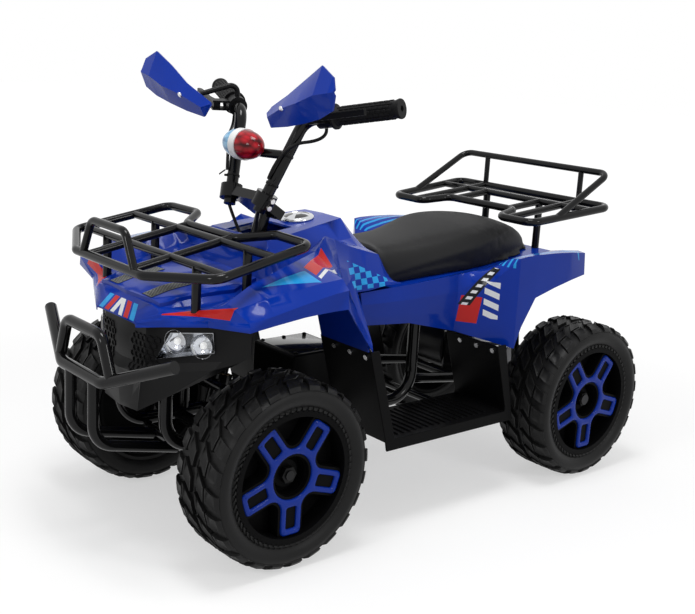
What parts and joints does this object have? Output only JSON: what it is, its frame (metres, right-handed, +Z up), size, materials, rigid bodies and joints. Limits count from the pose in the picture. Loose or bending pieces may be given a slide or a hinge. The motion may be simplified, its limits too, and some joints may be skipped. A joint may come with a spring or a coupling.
{
  "type": "kids quad bike",
  "caption": "Child's ride-on quad bike with blue plastic bodywork, tube racks and bumper, raked linked steering, brake levers, twist throttle and a chain-driven rear axle.",
  "frame": {"origin": "bottom centre of the bounding box, on the ground under the middle of the vehicle", "axes": "+X to the rider's left, -Y to the front, +Z up"},
  "size_m": [0.5862, 1.193, 0.832],
  "materials": {
    "blue_plastic": "glossy royal blue moulding",
    "black_plastic": "fine grained black moulding",
    "black_tube": "satin black powder coat on steel tube",
    "tyre": "black tyre rubber",
    "rim_black": "satin black wheel moulding",
    "seat_cover": "matte black vinyl seat cover",
    "grip_rubber": "black ribbed grip",
    "steel": "bare ground steel",
    "bright_steel": "bright plated",
    "lamp_clear": "clear lamp with a bright reflector",
    "lens_red": "clear red lens",
    "lens_blue": "clear blue lens",
    "white_plastic": "white moulding",
    "motor_case": "black painted can",
    "cable_black": "black cable sleeve",
    "bronze": "plain bush"
  },
  "bodies": {
    "chassis": {"frame": "black_tube", "front_bumper": "black_tube", "front_rack": "black_tube", "rear_rack": "black_tube", "front_body": "blue_plastic", "rear_body": "blue_plastic", "seat_cushion": "seat_cover", "footwell_left": "black_plastic", "footwell_right": "black_plastic", "front_fascia": "black_plastic", "headlight_left": "lamp_clear", "headlight_right": "lamp_clear", "hood_vents": "black_plastic", "tank_cap": "bright_steel", "battery_box": "black_plastic", "battery_pack": "motor_case", "motor": "motor_case", "drive_chain": "steel", "axle_bearings": "steel", "brake_caliper": "steel", "body_screws": "bright_steel", "column_bushes": "bronze"},
    "steering": {"steering_column": "black_tube", "handlebar": "black_tube", "clamp_bolts": "bright_steel", "grip_left": "grip_rubber", "hand_guard_left": "blue_plastic", "hand_guard_right": "blue_plastic", "lever_perch_left": "black_plastic", "lever_perch_right": "black_plastic", "siren_band": "white_plastic", "siren_lens_red": "lens_red", "siren_lens_blue": "lens_blue", "brake_cables": "cable_black"},
    "throttle": {"throttle_grip": "grip_rubber"},
    "brake_lever_left": {"brake_lever_left": "black_plastic"},
    "brake_lever_right": {"brake_lever_right": "black_plastic"},
    "knuckle_left": {"knuckle_left": "black_tube", "wheel_nut_front_left": "steel"},
    "knuckle_right": {"knuckle_right": "black_tube", "wheel_nut_front_right": "steel"},
    "tie_rod_left": {"tie_rod_left": "black_tube"},
    "tie_rod_right": {"tie_rod_right": "black_tube"},
    "wheel_front_left": {"tyre_front_left": "tyre", "rim_front_left": "rim_black", "spoke_trim_front_left": "blue_plastic"},
    "wheel_front_right": {"tyre_front_right": "tyre", "rim_front_right": "rim_black", "spoke_trim_front_right": "blue_plastic"},
    "rear_axle": {"rear_axle": "steel", "axle_sprocket": "steel", "brake_disc": "steel", "wheel_nuts_rear": "steel", "tyre_rear_left": "tyre", "tyre_rear_right": "tyre", "rim_rear_left": "rim_black", "rim_rear_right": "rim_black", "spoke_trim_rear_left": "blue_plastic", "spoke_trim_rear_right": "blue_plastic"},
    "motor_pinion": {"motor_pinion": "steel"}
  },
  "joints": [
    {"name": "steering_turn", "type": "hinge", "parent": "chassis", "child": "steering", "pos_m": [0, -0.3365, 0.165], "axis": [0, 0.2756, 0.9613], "range_deg": [-20, 20]},
    {"name": "knuckle_left_turn", "type": "hinge", "parent": "chassis", "child": "knuckle_left", "pos_m": [0.15, -0.3465, 0.165], "axis": [0, 0.2756, 0.9613], "range_deg": [-21, 21]},
    {"name": "knuckle_right_turn", "type": "hinge", "parent": "chassis", "child": "knuckle_right", "pos_m": [-0.15, -0.3465, 0.165], "axis": [0, 0.2756, 0.9613], "range_deg": [-21, 21]},
    {"name": "tie_rod_left_swing", "type": "hinge", "parent": "steering", "child": "tie_rod_left", "pos_m": [0.018, -0.27237, 0.20726], "axis": [0, 0.2756, 0.9613], "range_deg": [-21, 21]},
    {"name": "tie_rod_right_swing", "type": "hinge", "parent": "steering", "child": "tie_rod_right", "pos_m": [-0.018, -0.27237, 0.20726], "axis": [0, 0.2756, 0.9613], "range_deg": [-21, 21]},
    {"name": "wheel_front_left_spin", "type": "hinge", "parent": "knuckle_left", "child": "wheel_front_left", "pos_m": [0.23, -0.3465, 0.165], "axis": [1, 0, 0], "continuous": true},
    {"name": "wheel_front_right_spin", "type": "hinge", "parent": "knuckle_right", "child": "wheel_front_right", "pos_m": [-0.23, -0.3465, 0.165], "axis": [1, 0, 0], "continuous": true},
    {"name": "rear_axle_spin", "type": "hinge", "parent": "chassis", "child": "rear_axle", "pos_m": [0, 0.4315, 0.165], "axis": [1, 0, 0], "continuous": true},
    {"name": "motor_pinion_spin", "type": "hinge", "parent": "chassis", "child": "motor_pinion", "pos_m": [0.048, 0.2815, 0.24], "axis": [1, 0, 0], "continuous": true},
    {"name": "throttle_twist", "type": "hinge", "parent": "steering", "child": "throttle", "pos_m": [-0.266, -0.14912, 0.7669], "axis": [-0.9199, 0.3463, 0.184], "range_deg": [0, 60], "stiffness_Nm_per_rad": 0.4},
    {"name": "brake_lever_left_pull", "type": "hinge", "parent": "steering", "child": "brake_lever_left", "pos_m": [0.14976, -0.23455, 0.7409], "axis": [-0.1722, -0.0648, 0.9829], "range_deg": [0, 12], "stiffness_Nm_per_rad": 1.2},
    {"name": "brake_lever_right_pull", "type": "hinge", "parent": "steering", "child": "brake_lever_right", "pos_m": [-0.14976, -0.23455, 0.7409], "axis": [-0.1722, 0.0648, -0.9829], "range_deg": [0, 12], "stiffness_Nm_per_rad": 1.2}
  ],
  "couplings": [
    {"joint": "knuckle_left_turn", "follows": "steering_turn", "ratio": 1},
    {"joint": "knuckle_right_turn", "follows": "steering_turn", "ratio": 1},
    {"joint": "tie_rod_left_swing", "follows": "steering_turn", "ratio": -1},
    {"joint": "tie_rod_right_swing", "follows": "steering_turn", "ratio": -1},
    {"joint": "motor_pinion_spin", "follows": "rear_axle_spin", "ratio": 4}
  ]
}
